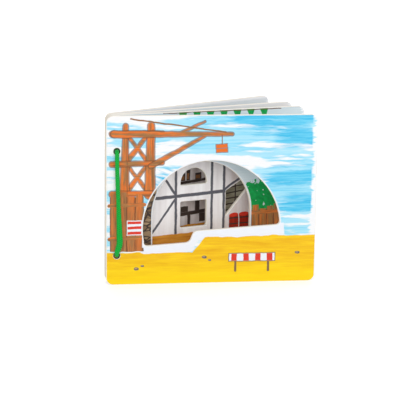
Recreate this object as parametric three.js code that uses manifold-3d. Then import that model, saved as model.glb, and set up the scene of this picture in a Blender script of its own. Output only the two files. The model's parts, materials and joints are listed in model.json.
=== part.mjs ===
// A wooden activity book: four thin boards on one loose cord, standing in a fan.
//
// Millimetres, +Z up. The front cover stands along +X with its print facing -Y and its spine edge at the
// low end of X. The origin is the middle of the cover's bottom edge. The other boards stand behind it, each
// turned a little further about the cord, as the book stands when it is left part open.

import * as THREE from "three";
import { mergeVertices } from "three/addons/utils/BufferGeometryUtils.js";
import Module from "manifold-3d";

const wasm = await Module();
wasm.setup();

// Boards
const BOARD_WIDTH = 210;
const BOARD_HEIGHT = 170;
const BOARD_THICKNESS = 4;
const CORNER_RADIUS = 7;
const EDGE_EASE = 0.6;
const CLOSED_GAP = 0.4;

// How the boards turn about the loose cord: the axis lies just outside the spine edge and a little behind
// the gap that it opens.
const AXIS_OUTSIDE_SPINE = 1;
const AXIS_BEHIND_GAP = 8;
const REST_OPENINGS = [13.2, 6.9, 11].map(THREE.MathUtils.degToRad);

// Cord and its holes
const CORD_DIAMETER = 4.2;
const CORD_HOLE_DIAMETER = 6.4;
const CORD_HOLE_FROM_SPINE = 10.5;
const CORD_HOLE_FROM_TOP = 35;
const CORD_HOLE_FROM_FOOT = 30;
const CORD_SEAT_GAP = 0.3;
const CORD_DRIFT = 2.7;
const KNOT_LENGTH = 11;
const KNOT_WIDTH = 9;
const KNOT_HEIGHT = 7;
const KNOT_ASIDE = 4;
const CORD_TAIL = 20;
const CORD_TAIL_SWAY = 7;

// Window of the front cover: a round arch over a low floor and a higher ledge
const COVER_ARCH_RADIUS = 68.7;
const COVER_ARCH_HEIGHT = 56;
const COVER_LOW_FLOOR = 39;
const COVER_LEDGE = 53.6;
const COVER_STEP_FROM_SPINE = 85;
const COVER_STEP_LEAN = 2.2;
const COVER_FLOOR_RISE = 0.06;
const COVER_CORNER_EASE = 4.4;

// Window of the arch page
const PAGE_ARCH_RADIUS = 52.5;
const PAGE_ARCH_HEIGHT = 66;
const PAGE_ARCH_FROM_SPINE = 99.5;
const PAGE_ARCH_FLOOR = 30;
const PAGE_ARCH_CORNER_EASE = 5;

// Windows of the window page: an attic arch over a square window, and a slanted one beside them
const HOUSE_WINDOW_FROM_SPINE = 81.5;
const HOUSE_WINDOW_WIDTH = 29.8;
const HOUSE_WINDOW_SILL = 48;
const HOUSE_WINDOW_HEIGHT = 27;
const ATTIC_SILL = 92;
const ATTIC_SIDE = 2.2;
const SIDE_WINDOW_FROM_SPINE = 133.4;
const SIDE_WINDOW_WIDTH = 27;
const SIDE_WINDOW_SILL = 55.8;
const SIDE_WINDOW_HEIGHT = 26.5;
const SIDE_WINDOW_SILL_RISE = 29;
const SIDE_WINDOW_HEAD_RISE = 14.3;
const WINDOW_CORNER_EASE = 1.5;

const ARC_STEPS = 8;
const CORD_STEPS = 140;
const CORD_SIDES = 8;

// Lines from the path's present point through the corners, each rounded over its own length
function addCorners(path, corners) {
  let from = path.currentPoint.clone();
  corners.forEach(([x, y, ease], index) => {
    const corner = new THREE.Vector2(x, y);
    const next = corners[index + 1];
    if (!next || !ease) {
      path.lineTo(x, y);
      from = corner;
      return;
    }
    const before = corner.clone().add(from.clone().sub(corner).setLength(ease));
    const after = corner.clone().add(new THREE.Vector2(next[0], next[1]).sub(corner).setLength(ease));
    path.lineTo(before.x, before.y);
    path.quadraticCurveTo(x, y, after.x, after.y);
    from = after;
  });
}

// The outline of a board, from its spine edge at x = 0 and its foot at y = 0
function boardOutline() {
  const r = CORNER_RADIUS;
  const outline = new THREE.Shape();
  outline.moveTo(r, 0);
  outline.lineTo(BOARD_WIDTH - r, 0);
  outline.absarc(BOARD_WIDTH - r, r, r, -Math.PI / 2, 0);
  outline.absarc(BOARD_WIDTH - r, BOARD_HEIGHT - r, r, 0, Math.PI / 2);
  outline.absarc(r, BOARD_HEIGHT - r, r, Math.PI / 2, Math.PI);
  outline.absarc(r, r, r, Math.PI, 1.5 * Math.PI);
  return outline;
}

function cordHole(height) {
  const hole = new THREE.Path();
  hole.absarc(CORD_HOLE_FROM_SPINE, height, CORD_HOLE_DIAMETER / 2, 0, 2 * Math.PI);
  return hole;
}

const CORD_HOLE_LOW = CORD_HOLE_FROM_FOOT;
const CORD_HOLE_HIGH = BOARD_HEIGHT - CORD_HOLE_FROM_TOP;

function coverWindow() {
  const middle = BOARD_WIDTH / 2;
  const right = middle + COVER_ARCH_RADIUS;
  const left = middle - COVER_ARCH_RADIUS;
  const floorAt = (base, x, from) => base + COVER_FLOOR_RISE * (x - from);
  const ledgeEnd = floorAt(COVER_LEDGE, right, COVER_STEP_FROM_SPINE);
  const floorEnd = floorAt(COVER_LOW_FLOOR, COVER_STEP_FROM_SPINE, left);
  const ease = COVER_CORNER_EASE;
  const startAngle = Math.asin((ledgeEnd + ease - COVER_ARCH_HEIGHT) / COVER_ARCH_RADIUS);
  const endAngle = Math.PI - Math.asin((COVER_LOW_FLOOR + ease - COVER_ARCH_HEIGHT) / COVER_ARCH_RADIUS);
  const window = new THREE.Path();
  window.absarc(middle, COVER_ARCH_HEIGHT, COVER_ARCH_RADIUS, startAngle, Math.PI / 2);
  window.absarc(middle, COVER_ARCH_HEIGHT, COVER_ARCH_RADIUS, Math.PI / 2, endAngle);
  addCorners(window, [
    [left + 1, COVER_LOW_FLOOR, ease],
    [COVER_STEP_FROM_SPINE - COVER_STEP_LEAN, floorEnd, ease],
    [COVER_STEP_FROM_SPINE + COVER_STEP_LEAN, COVER_LEDGE, ease],
    [right, ledgeEnd, ease],
    [middle + COVER_ARCH_RADIUS * Math.cos(startAngle), ledgeEnd + ease, 0],
  ]);
  return window;
}

function archPageWindow() {
  const left = PAGE_ARCH_FROM_SPINE - PAGE_ARCH_RADIUS;
  const right = PAGE_ARCH_FROM_SPINE + PAGE_ARCH_RADIUS;
  const window = new THREE.Path();
  window.absarc(PAGE_ARCH_FROM_SPINE, PAGE_ARCH_HEIGHT, PAGE_ARCH_RADIUS, 0, Math.PI / 2);
  window.absarc(PAGE_ARCH_FROM_SPINE, PAGE_ARCH_HEIGHT, PAGE_ARCH_RADIUS, Math.PI / 2, Math.PI);
  addCorners(window, [
    [left, PAGE_ARCH_FLOOR, PAGE_ARCH_CORNER_EASE],
    [right, PAGE_ARCH_FLOOR, PAGE_ARCH_CORNER_EASE],
    [right, PAGE_ARCH_HEIGHT, 0],
  ]);
  return window;
}

function atticWindow() {
  const radius = HOUSE_WINDOW_WIDTH / 2;
  const left = HOUSE_WINDOW_FROM_SPINE;
  const right = HOUSE_WINDOW_FROM_SPINE + HOUSE_WINDOW_WIDTH;
  const springing = ATTIC_SILL + ATTIC_SIDE;
  const window = new THREE.Path();
  window.absarc(left + radius, springing, radius, 0, Math.PI);
  addCorners(window, [
    [left, ATTIC_SILL, WINDOW_CORNER_EASE],
    [right, ATTIC_SILL, WINDOW_CORNER_EASE],
    [right, springing, 0],
  ]);
  return window;
}

// A window with two upright sides: the second side stands higher by its own rise at the sill and the head
function fourSidedWindow(x, sill, width, height, sillRise, headRise) {
  const window = new THREE.Path();
  window.moveTo(x, sill + height / 2);
  addCorners(window, [
    [x, sill, WINDOW_CORNER_EASE],
    [x + width, sill + sillRise, WINDOW_CORNER_EASE],
    [x + width, sill + height + headRise, WINDOW_CORNER_EASE],
    [x, sill + height, WINDOW_CORNER_EASE],
    [x, sill + height / 2, 0],
  ]);
  return window;
}

// A board with eased edges, its print side at y = 0 and its back at y = BOARD_THICKNESS
function boardGeometry(windows) {
  const outline = boardOutline();
  outline.holes.push(cordHole(CORD_HOLE_LOW), cordHole(CORD_HOLE_HIGH), ...windows);
  const geometry = new THREE.ExtrudeGeometry(outline, {
    depth: BOARD_THICKNESS - 2 * EDGE_EASE,
    curveSegments: ARC_STEPS,
    bevelThickness: EDGE_EASE,
    bevelSize: EDGE_EASE,
    bevelOffset: -EDGE_EASE,
    bevelSegments: 1,
  });
  geometry.translate(0, 0, EDGE_EASE);
  geometry.rotateX(Math.PI / 2);
  geometry.translate(0, BOARD_THICKNESS, 0);
  return geometry;
}

const boardFront = (index) => index * (BOARD_THICKNESS + CLOSED_GAP);

// The book's own frame has the closed cover's spine edge at x = 0 and its print side at y = 0
const book = new THREE.Group();
book.position.set(-BOARD_WIDTH / 2, -BOARD_THICKNESS / 2, 0);

// The group that a board and all behind it turn in: the pivot turns, and its content is in the closed frame
function openingGroup(parent, index) {
  const axisX = -AXIS_OUTSIDE_SPINE;
  const axisY = boardFront(index) - CLOSED_GAP / 2 + AXIS_BEHIND_GAP;
  const pivot = new THREE.Group();
  pivot.position.set(axisX, axisY, 0);
  pivot.rotation.z = REST_OPENINGS[index - 1];
  const content = new THREE.Group();
  content.position.set(-axisX, -axisY, 0);
  pivot.add(content);
  parent.add(pivot);
  return content;
}

function addBoard(parent, index, name, windows, colour) {
  const material = new THREE.MeshStandardMaterial({ color: colour, roughness: 0.55, metalness: 0 });
  const board = new THREE.Mesh(boardGeometry(windows), material);
  board.name = name;
  board.position.y = boardFront(index);
  parent.add(board);
}

const archPageGroup = openingGroup(book, 1);
const windowPageGroup = openingGroup(archPageGroup, 2);
const backCoverGroup = openingGroup(windowPageGroup, 3);
const boardGroups = [book, archPageGroup, windowPageGroup, backCoverGroup];

const houseWindow = fourSidedWindow(
  HOUSE_WINDOW_FROM_SPINE, HOUSE_WINDOW_SILL, HOUSE_WINDOW_WIDTH, HOUSE_WINDOW_HEIGHT, 0, 0);
const sideWindow = fourSidedWindow(
  SIDE_WINDOW_FROM_SPINE, SIDE_WINDOW_SILL, SIDE_WINDOW_WIDTH, SIDE_WINDOW_HEIGHT,
  SIDE_WINDOW_SILL_RISE, SIDE_WINDOW_HEAD_RISE);

addBoard(book, 0, "front_cover", [coverWindow()], 0x8fd4ec);
addBoard(archPageGroup, 1, "arch_page", [archPageWindow()], 0xb9c9ca);
addBoard(windowPageGroup, 2, "window_page", [atticWindow(), houseWindow, sideWindow], 0xe0dbdc);
addBoard(backCoverGroup, 3, "back_cover", [], 0xc3d0da);

// The cord lies on the print of the cover and on the back of the back cover, and bends round the hole edges
const cordRadius = CORD_DIAMETER / 2;
const cordOffset = cordRadius + CORD_SEAT_GAP;
const bendRadius = cordRadius + CORD_SEAT_GAP + EDGE_EASE / 2;

book.updateMatrixWorld(true);

const cordPoint = (index, x, depth, height) =>
  boardGroups[index].localToWorld(new THREE.Vector3(x, boardFront(index) + depth, height));

// The quarter turn from a hole onto a face: side is -1 on the cover's print and 1 on the back cover's back,
// and way is -1 where the cord runs down from the hole and 1 where it runs up
function bendPoints(index, holeHeight, side, way) {
  const face = side < 0 ? 0 : BOARD_THICKNESS;
  const edge = holeHeight + way * CORD_HOLE_DIAMETER / 2;
  return [0, 1, 2, 3].map((step) => {
    const angle = (step / 3) * (Math.PI / 2);
    const out = side * (bendRadius * Math.sin(angle) - (bendRadius - cordOffset) * Math.sin(angle));
    const height = edge - way * bendRadius * Math.cos(angle);
    return cordPoint(index, CORD_HOLE_FROM_SPINE, face + out, height);
  });
}

// The way through the holes of all four boards, from the cover to the back cover
function passage(height, shift) {
  return boardGroups.flatMap((group, index) => {
    const first = index === 0 ? 0.4 : 0.1;
    const last = index === boardGroups.length - 1 ? 0.6 : 0.9;
    return [first, last].map((share) =>
      cordPoint(index, CORD_HOLE_FROM_SPINE, share * BOARD_THICKNESS, height + shift));
  });
}

const lastBoard = boardGroups.length - 1;
const inHole = CORD_HOLE_DIAMETER / 2 - bendRadius;
const knotHeight = BOARD_HEIGHT / 2;
const backDepth = BOARD_THICKNESS + cordOffset;
const knotFromSpine = CORD_HOLE_FROM_SPINE + KNOT_ASIDE;
const backRun = (hole, share) => cordPoint(
  lastBoard, THREE.MathUtils.lerp(knotFromSpine, CORD_HOLE_FROM_SPINE, share), backDepth,
  THREE.MathUtils.lerp(knotHeight, hole, share));
const frontRun = (share, drift) => cordPoint(
  0, CORD_HOLE_FROM_SPINE + drift * CORD_DRIFT, -cordOffset,
  THREE.MathUtils.lerp(CORD_HOLE_HIGH - CORD_HOLE_DIAMETER, CORD_HOLE_LOW + CORD_HOLE_DIAMETER, share));

const cordRoute = new THREE.CatmullRomCurve3([
  backRun(CORD_HOLE_HIGH, 0),
  backRun(CORD_HOLE_HIGH, 0.5),
  ...bendPoints(lastBoard, CORD_HOLE_HIGH, 1, -1).reverse(),
  ...passage(CORD_HOLE_HIGH, -inHole).reverse(),
  ...bendPoints(0, CORD_HOLE_HIGH, -1, -1),
  frontRun(0.1, 0.05),
  frontRun(0.35, 0.33),
  frontRun(0.6, 0.65),
  frontRun(0.85, 0.95),
  frontRun(0.94, 0.94),
  ...bendPoints(0, CORD_HOLE_LOW, -1, 1).reverse(),
  ...passage(CORD_HOLE_LOW, inHole),
  ...bendPoints(lastBoard, CORD_HOLE_LOW, 1, 1),
  backRun(CORD_HOLE_LOW, 0.5),
  backRun(CORD_HOLE_LOW, 0),
], false, "centripetal");

// One tail lies beside each half of the back run, on the side away from the spine: way is 1 up and -1 down
const tailRoute = (way) => new THREE.CatmullRomCurve3(
  [[0, 0], [0.6, 0.4], [1, 1]].map(([sway, reach]) => cordPoint(
    lastBoard, knotFromSpine + sway * CORD_TAIL_SWAY, backDepth, knotHeight + way * reach * CORD_TAIL)));

function cordTube(route, steps) {
  const section = new THREE.Shape(
    new THREE.EllipseCurve(0, 0, cordRadius, cordRadius).getPoints(CORD_SIDES).slice(0, CORD_SIDES));
  return new THREE.ExtrudeGeometry(section, { steps, extrudePath: route });
}

function toSolid(geometry) {
  geometry.deleteAttribute("normal");
  geometry.deleteAttribute("uv");
  const merged = mergeVertices(geometry, 1e-4);
  return new wasm.Manifold(new wasm.Mesh({
    numProp: 3,
    vertProperties: new Float32Array(merged.attributes.position.array),
    triVerts: new Uint32Array(merged.index.array),
  }));
}

function toGeometry(solid) {
  const mesh = solid.getMesh();
  const geometry = new THREE.BufferGeometry();
  geometry.setAttribute("position", new THREE.BufferAttribute(mesh.vertProperties, mesh.numProp));
  geometry.setIndex(new THREE.BufferAttribute(mesh.triVerts, 1));
  geometry.computeVertexNormals();
  return geometry;
}

// The knot is one round lump that lies on the back, at the turn of the back cover. It sits a little away from
// the line of the holes, so that it clears the front cover when the boards stand wide open.
function knotGeometry() {
  const knot = new THREE.SphereGeometry(0.5, 12, 8);
  knot.scale(KNOT_WIDTH, KNOT_HEIGHT, KNOT_LENGTH);
  const turn = REST_OPENINGS.reduce((sum, angle) => sum + angle, 0);
  knot.rotateZ(turn);
  const depth = BOARD_THICKNESS + CORD_SEAT_GAP + KNOT_HEIGHT / 2;
  const centre = cordPoint(lastBoard, knotFromSpine, depth, knotHeight);
  knot.translate(centre.x, centre.y, centre.z);
  return knot;
}

const cordSolid = [cordTube(tailRoute(1), 6), cordTube(tailRoute(-1), 6), knotGeometry()]
  .reduce((solid, piece) => solid.add(toSolid(piece)), toSolid(cordTube(cordRoute, CORD_STEPS)));

const part = new THREE.Group();
part.add(book);

const cord = new THREE.Mesh(
  toGeometry(cordSolid), new THREE.MeshStandardMaterial({ color: 0x0aa046, roughness: 0.85, metalness: 0 }));
cord.name = "binding_cord";
part.add(cord);

export default part;
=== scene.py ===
# A wooden activity book: four printed boards on a loose green cord, standing in a fan.

import json
import math

import bmesh
import bpy
from mathutils import Matrix, Vector
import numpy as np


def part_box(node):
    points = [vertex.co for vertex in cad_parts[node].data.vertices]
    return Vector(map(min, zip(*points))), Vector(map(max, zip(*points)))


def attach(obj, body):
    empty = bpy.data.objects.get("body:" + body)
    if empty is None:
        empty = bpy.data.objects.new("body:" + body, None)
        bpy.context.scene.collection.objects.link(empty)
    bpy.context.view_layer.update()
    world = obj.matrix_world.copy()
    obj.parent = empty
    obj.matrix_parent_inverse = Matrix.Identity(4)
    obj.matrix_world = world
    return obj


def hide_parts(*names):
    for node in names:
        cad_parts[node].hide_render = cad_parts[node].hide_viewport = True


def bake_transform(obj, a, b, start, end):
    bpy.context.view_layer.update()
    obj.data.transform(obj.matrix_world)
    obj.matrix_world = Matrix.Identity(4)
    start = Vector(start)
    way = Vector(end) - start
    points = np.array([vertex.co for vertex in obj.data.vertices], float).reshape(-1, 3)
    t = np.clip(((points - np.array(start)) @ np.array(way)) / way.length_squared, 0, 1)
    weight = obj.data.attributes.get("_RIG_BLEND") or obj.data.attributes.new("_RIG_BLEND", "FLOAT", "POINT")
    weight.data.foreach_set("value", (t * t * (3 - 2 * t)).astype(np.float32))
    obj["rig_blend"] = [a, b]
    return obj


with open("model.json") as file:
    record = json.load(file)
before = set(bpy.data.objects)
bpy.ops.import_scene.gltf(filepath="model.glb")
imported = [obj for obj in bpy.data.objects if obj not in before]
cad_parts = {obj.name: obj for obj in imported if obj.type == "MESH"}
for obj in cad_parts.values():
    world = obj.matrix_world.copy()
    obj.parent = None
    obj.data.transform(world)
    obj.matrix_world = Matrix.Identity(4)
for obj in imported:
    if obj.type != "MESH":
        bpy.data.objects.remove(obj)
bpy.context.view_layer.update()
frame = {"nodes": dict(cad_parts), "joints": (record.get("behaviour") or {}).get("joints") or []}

MM = 0.001

# Board sizes, from the frame
cover_low, cover_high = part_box("front_cover")
BOARD_WIDTH = cover_high.x - cover_low.x
BOARD_HEIGHT = cover_high.z - cover_low.z
BOARD_THICKNESS = cover_high.y - cover_low.y
CLOSED_GAP = 0.4 * MM

# The cord and its holes, as in the part
CORD_RADIUS = 2.1 * MM
CORD_HOLE_RADIUS = 3.2 * MM
CORD_HOLE_FROM_SPINE = 10.5 * MM
CORD_HOLE_LOW = 30 * MM
CORD_HOLE_HIGH = BOARD_HEIGHT - 35 * MM
CORD_OFFSET = 2.4 * MM
CORD_BEND_RADIUS = 2.7 * MM
CORD_DRIFT = 2.7 * MM

BOARD_NODES = ["front_cover", "arch_page", "window_page", "back_cover"]


def board_places():
    """Each board's place at rest. In its own frame the spine edge, the print and the foot are at 0."""
    places = [Matrix.Translation(cover_low)]
    step = Matrix.Translation((0, BOARD_THICKNESS + CLOSED_GAP, 0))
    for joint in frame["joints"]:
        axis_point = Vector(joint["pos_m"])
        opening = math.radians(-joint["range_deg"][0])
        turn = Matrix.Rotation(opening, 4, "Z")
        places.append(
            Matrix.Translation(axis_point) @ turn @ Matrix.Translation(-axis_point) @ places[-1] @ step)
    return places


PLACES = board_places()


# Camera, at the photograph's angle
IMAGE_SIZE_PX = 400
FOCAL_PX = 1655.5
CAMERA_PLACE = Vector((-0.2218, -1.5863, 0.4383))
CAMERA_YAW = math.radians(7.54)
CAMERA_PITCH = math.radians(12.46)
CAMERA_ROLL = math.radians(0.74)


def make_camera():
    data = bpy.data.cameras.new("camera")
    data.sensor_width = 36
    data.sensor_fit = "HORIZONTAL"
    data.lens = data.sensor_width * FOCAL_PX / IMAGE_SIZE_PX
    data.clip_start = 0.05
    camera = bpy.data.objects.new("camera", data)
    bpy.context.scene.collection.objects.link(camera)
    turn = Matrix.Rotation(-CAMERA_YAW, 4, "Z")
    tip = Matrix.Rotation(math.pi / 2 - CAMERA_PITCH, 4, "X")
    roll = Matrix.Rotation(CAMERA_ROLL, 4, "Z")
    camera.matrix_world = Matrix.Translation(CAMERA_PLACE) @ turn @ tip @ roll
    bpy.context.scene.camera = camera


make_camera()


# Shader trees
def srgb(red, green, blue):
    """A colour written as 0 to 255, in the linear values that the sockets take."""
    def linear(value):
        value /= 255
        return value / 12.92 if value <= 0.04045 else ((value + 0.055) / 1.055) ** 2.4
    return (linear(red), linear(green), linear(blue), 1.0)


class Tree:
    """Adds nodes to one node tree. A value is a socket, a number or a tuple."""

    def __init__(self, tree):
        self.tree = tree

    def put(self, socket, value):
        if isinstance(value, bpy.types.NodeSocket):
            self.tree.links.new(value, socket)
        elif value is not None:
            socket.default_value = value

    def node(self, kind, inputs=(), **settings):
        node = self.tree.nodes.new(kind)
        for name, value in settings.items():
            setattr(node, name, value)
        for index, value in enumerate(inputs):
            self.put(node.inputs[index], value)
        return node

    def math(self, operation, *values, clamp=False):
        return self.node("ShaderNodeMath", values, operation=operation, use_clamp=clamp).outputs[0]

    def vector(self, operation, *values):
        node = self.node("ShaderNodeVectorMath", values, operation=operation)
        return node.outputs["Value" if operation in ("LENGTH", "DISTANCE", "DOT_PRODUCT") else "Vector"]

    def scaled(self, vector, factor):
        node = self.node("ShaderNodeVectorMath", (vector,), operation="SCALE")
        self.put(node.inputs["Scale"], factor)
        return node.outputs["Vector"]

    def apart(self, vector):
        return self.node("ShaderNodeSeparateXYZ", (vector,)).outputs

    def together(self, x, y, z=0.0):
        return self.node("ShaderNodeCombineXYZ", (x, y, z)).outputs[0]

    def noise(self, vector, scale, detail=3.0, roughness=0.5, output="Fac"):
        node = self.node("ShaderNodeTexNoise")
        self.put(node.inputs["Vector"], vector)
        self.put(node.inputs["Scale"], scale)
        self.put(node.inputs["Detail"], detail)
        self.put(node.inputs["Roughness"], roughness)
        return node.outputs[output]

    def turned(self, vector, angle, centre=None):
        node = self.node("ShaderNodeVectorRotate", rotation_type="Z_AXIS")
        self.put(node.inputs["Vector"], vector)
        self.put(node.inputs["Center"], centre)
        self.put(node.inputs["Angle"], angle)
        return node.outputs[0]

    def span(self, value, low, high, to_low=0.0, to_high=1.0):
        node = self.node("ShaderNodeMapRange", (value, low, high, to_low, to_high))
        return node.outputs[0]

    def mix(self, factor, first, second):
        node = self.node("ShaderNodeMix", data_type="RGBA")
        self.put(node.inputs[0], factor)
        self.put(node.inputs[6], first)
        self.put(node.inputs[7], second)
        return node.outputs[2]

    def dress(self, shader, colour, grain, roughness, height, strength, distance):
        """Give a shader its colour, a roughness that follows a grain, and a bump from a height."""
        self.put(shader.inputs["Base Color"], colour)
        self.put(shader.inputs["Roughness"], self.span(grain, 0.3, 0.7, *roughness))
        node = self.node("ShaderNodeBump")
        node.inputs["Strength"].default_value = strength
        node.inputs["Distance"].default_value = distance
        self.put(node.inputs["Height"], height)
        self.put(shader.inputs["Normal"], node.outputs[0])

    def group(self, group, **inputs):
        node = self.node("ShaderNodeGroup", node_tree=group)
        for name, value in inputs.items():
            self.put(node.inputs[name.replace("_", " ")], value)
        return node.outputs[0]


# Objects and materials
def add_piece(name, shape, *materials):
    """An object from a finished bmesh."""
    mesh = bpy.data.meshes.new(name)
    shape.to_mesh(mesh)
    shape.free()
    for material in materials:
        mesh.materials.append(material)
    piece = bpy.data.objects.new(name, mesh)
    bpy.context.scene.collection.objects.link(piece)
    return piece


def new_material(name):
    """A material, with a tree to build on and its shader."""
    material = bpy.data.materials.new(name)
    material.use_nodes = True
    return material, Tree(material.node_tree), material.node_tree.nodes["Principled BSDF"]


# Light and stage: each lamp's name, place, size and watts
WHITE = (1.0, 1.0, 1.0, 1.0)
LAMPS = [
    ("key", (-0.5, -1.8, 0.95), 1.2, 15.5), ("fill", (0.8, -1.6, 0.5), 1.0, 8),
    ("back", (0.3, 1.4, 1.2), 1.4, 9)]
LAMP_AIM = Vector((0, 0, 0.08))
WORLD_STRENGTH = 0.5
FLOOR_HALF_WIDTH = 6
FLOOR_WHITE = (0.86, 0.86, 0.86, 1.0)
FLOOR_FADE = (0.5, 1.6)
FLOOR_GLOW = (0.42, 1.0)


def make_lamps():
    for name, place, size, watts in LAMPS:
        data = bpy.data.lights.new(name, "AREA")
        data.size = size
        data.energy = watts
        lamp = bpy.data.objects.new(name, data)
        bpy.context.scene.collection.objects.link(lamp)
        lamp.location = place
        lamp.rotation_euler = (LAMP_AIM - Vector(place)).to_track_quat("-Z", "Y").to_euler()


def make_world():
    """A soft world that the camera sees as plain white."""
    world = bpy.data.worlds.new("studio")
    bpy.context.scene.world = world
    world.use_nodes = True
    world.node_tree.nodes.clear()
    build = Tree(world.node_tree)
    soft = build.node("ShaderNodeBackground", (WHITE, WORLD_STRENGTH)).outputs[0]
    seen = build.node("ShaderNodeBackground", (WHITE, 1.0)).outputs[0]
    by_camera = build.node("ShaderNodeLightPath").outputs["Is Camera Ray"]
    either = build.node("ShaderNodeMixShader", (by_camera, soft, seen)).outputs[0]
    build.node("ShaderNodeOutputWorld", (either,))


def make_floor():
    """A white floor that keeps the shadow near the book and fades to plain white further away."""
    material = bpy.data.materials.new("floor white")
    material.use_nodes = True
    material.node_tree.nodes.clear()
    build = Tree(material.node_tree)
    away = build.vector("LENGTH", build.node("ShaderNodeTexCoord").outputs["Object"])
    by_camera = build.node("ShaderNodeLightPath").outputs["Is Camera Ray"]
    lift = build.math("MULTIPLY", by_camera, build.span(away, *FLOOR_FADE, *FLOOR_GLOW))
    cloth = build.node("ShaderNodeBsdfDiffuse", (FLOOR_WHITE,)).outputs[0]
    glow = build.node("ShaderNodeEmission", (WHITE, lift)).outputs[0]
    both = build.node("ShaderNodeAddShader", (cloth, glow)).outputs[0]
    build.node("ShaderNodeOutputMaterial", (both,))
    shape = bmesh.new()
    bmesh.ops.create_grid(shape, x_segments=1, y_segments=1, size=FLOOR_HALF_WIDTH)
    add_piece("floor", shape, material)


make_lamps()
make_world()
make_floor()
bpy.context.scene.view_settings.view_transform = "Standard"


# Shader groups
ORIGIN = (0.0, 0.0, 0.0)


def make_group(name, fill, output_kind="NodeSocketFloat", **inputs):
    """A node group with named inputs, each with its start value, and one output, which fill makes."""
    tree = bpy.data.node_groups.new(name, "ShaderNodeTree")
    for label, start in inputs.items():
        kind = "NodeSocketVector" if start is ORIGIN else "NodeSocketFloat"
        socket = tree.interface.new_socket(label.replace("_", " "), in_out="INPUT", socket_type=kind)
        socket.default_value = start
    tree.interface.new_socket("Result", in_out="OUTPUT", socket_type=output_kind)
    given = tree.nodes.new("NodeGroupInput").outputs[:len(inputs)]
    result = tree.nodes.new("NodeGroupOutput").inputs[0]
    build = Tree(tree)
    build.put(result, fill(build, *given))
    return tree


def soft_edge_of(build, distance, softness):
    """1 inside a shape and 0 outside it, from the distance to its edge, less than 0 inside."""
    share = build.math("DIVIDE", distance, softness)
    return build.math("SUBTRACT", 0.5, share, clamp=True)


def box_shape(build, point, centre, half_size, angle, softness):
    turned = build.turned(point, angle, centre)
    away = build.vector("ABSOLUTE", build.vector("SUBTRACT", turned, centre))
    sides = build.apart(build.vector("SUBTRACT", away, half_size))
    return soft_edge_of(build, build.math("MAXIMUM", sides[0], sides[1]), softness)


def disc_shape(build, point, centre, radii, softness):
    away = build.vector("SUBTRACT", point, centre)
    unit = build.vector("LENGTH", build.vector("DIVIDE", away, radii))
    radius = build.apart(radii)[0]
    distance = build.math("MULTIPLY", build.math("SUBTRACT", unit, 1.0), radius)
    return soft_edge_of(build, distance, softness)


def stroke_shape(build, point, start, end, start_width, end_width, softness):
    run = build.vector("SUBTRACT", end, start)
    away = build.vector("SUBTRACT", point, start)
    share = build.math(
        "DIVIDE", build.vector("DOT_PRODUCT", away, run), build.vector("DOT_PRODUCT", run, run), clamp=True)
    distance = build.vector("LENGTH", build.vector("SUBTRACT", away, build.scaled(run, share)))
    widening = build.math("SUBTRACT", end_width, start_width)
    width = build.math("MULTIPLY_ADD", widening, share, start_width)
    return soft_edge_of(build, build.math("MULTIPLY_ADD", width, -0.5, distance), softness)


def ground_shape(build, point, height, slope, wave, softness):
    sides = build.apart(point)
    wobble = build.noise(build.together(sides[0], 7.0), 0.05, 2.0)
    line = build.math("MULTIPLY_ADD", build.math("SUBTRACT", wobble, 0.5), wave, height)
    line = build.math("MULTIPLY_ADD", sides[0], slope, line)
    return soft_edge_of(build, build.math("SUBTRACT", sides[1], line), softness)


def brush_streaks(build, point, angle, length, width, seed):
    sides = build.apart(build.turned(point, angle))
    along = build.math("DIVIDE", sides[0], length)
    across = build.math("DIVIDE", sides[1], width)
    streaks = build.noise(build.together(along, across, seed), 1.0, 4.0, 0.55)
    return build.span(streaks, 0.35, 0.65)


def hand_wobble(build, point, amount):
    centred = build.vector("SUBTRACT", build.noise(point, 0.11, output="Color"), (0.5, 0.5, 0.5))
    sway = build.scaled(centred, build.math("MULTIPLY", amount, 2.0))
    return build.vector("ADD", point, build.vector("MULTIPLY", sway, (1.0, 1.0, 0.0)))


def braid_strands(build, point, strands, pitch):
    """Two sets of strands that cross over and under each other."""
    sides = build.apart(point)
    around = build.math("MULTIPLY", sides[0], strands)
    along = build.math("MULTIPLY", build.math("MULTIPLY", sides[1], pitch), 4.0)
    waves = []
    for operation in ("ADD", "SUBTRACT"):
        place = build.math("MULTIPLY", build.math(operation, around, along), math.pi / 2)
        waves.append(build.math("ABSOLUTE", build.math("SINE", place)))
    return build.math("MAXIMUM", *waves)


BOX = make_group(
    "box shape", box_shape, Point=ORIGIN, Centre=ORIGIN, Half_size=ORIGIN, Angle=0.0, Softness=0.5)
DISC = make_group("disc shape", disc_shape, Point=ORIGIN, Centre=ORIGIN, Radii=ORIGIN, Softness=0.5)
STROKE = make_group(
    "stroke shape", stroke_shape, Point=ORIGIN, Start=ORIGIN, End=ORIGIN, Start_width=3.0,
    End_width=3.0, Softness=0.5)
GROUND = make_group(
    "ground below a wavy line", ground_shape, Point=ORIGIN, Height=40.0, Slope=0.0, Wave=2.0,
    Softness=0.5)
BRUSH = make_group(
    "brush streaks", brush_streaks, Point=ORIGIN, Angle=0.0, Length=60.0, Width=3.0, Seed=0.0)
WOBBLE = make_group("hand wobble", hand_wobble, "NodeSocketVector", Point=ORIGIN, Amount=0.8)
BRAID = make_group("braid", braid_strands, Point=ORIGIN, Strands=8.0, Pitch=1.1)


# Roughness from the smoothest to the roughest of the grain
PRINT_ROUGHNESS = (0.42, 0.56)
EDGE_ROUGHNESS = (0.55, 0.75)
CORD_ROUGHNESS = (0.65, 0.85)


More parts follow.
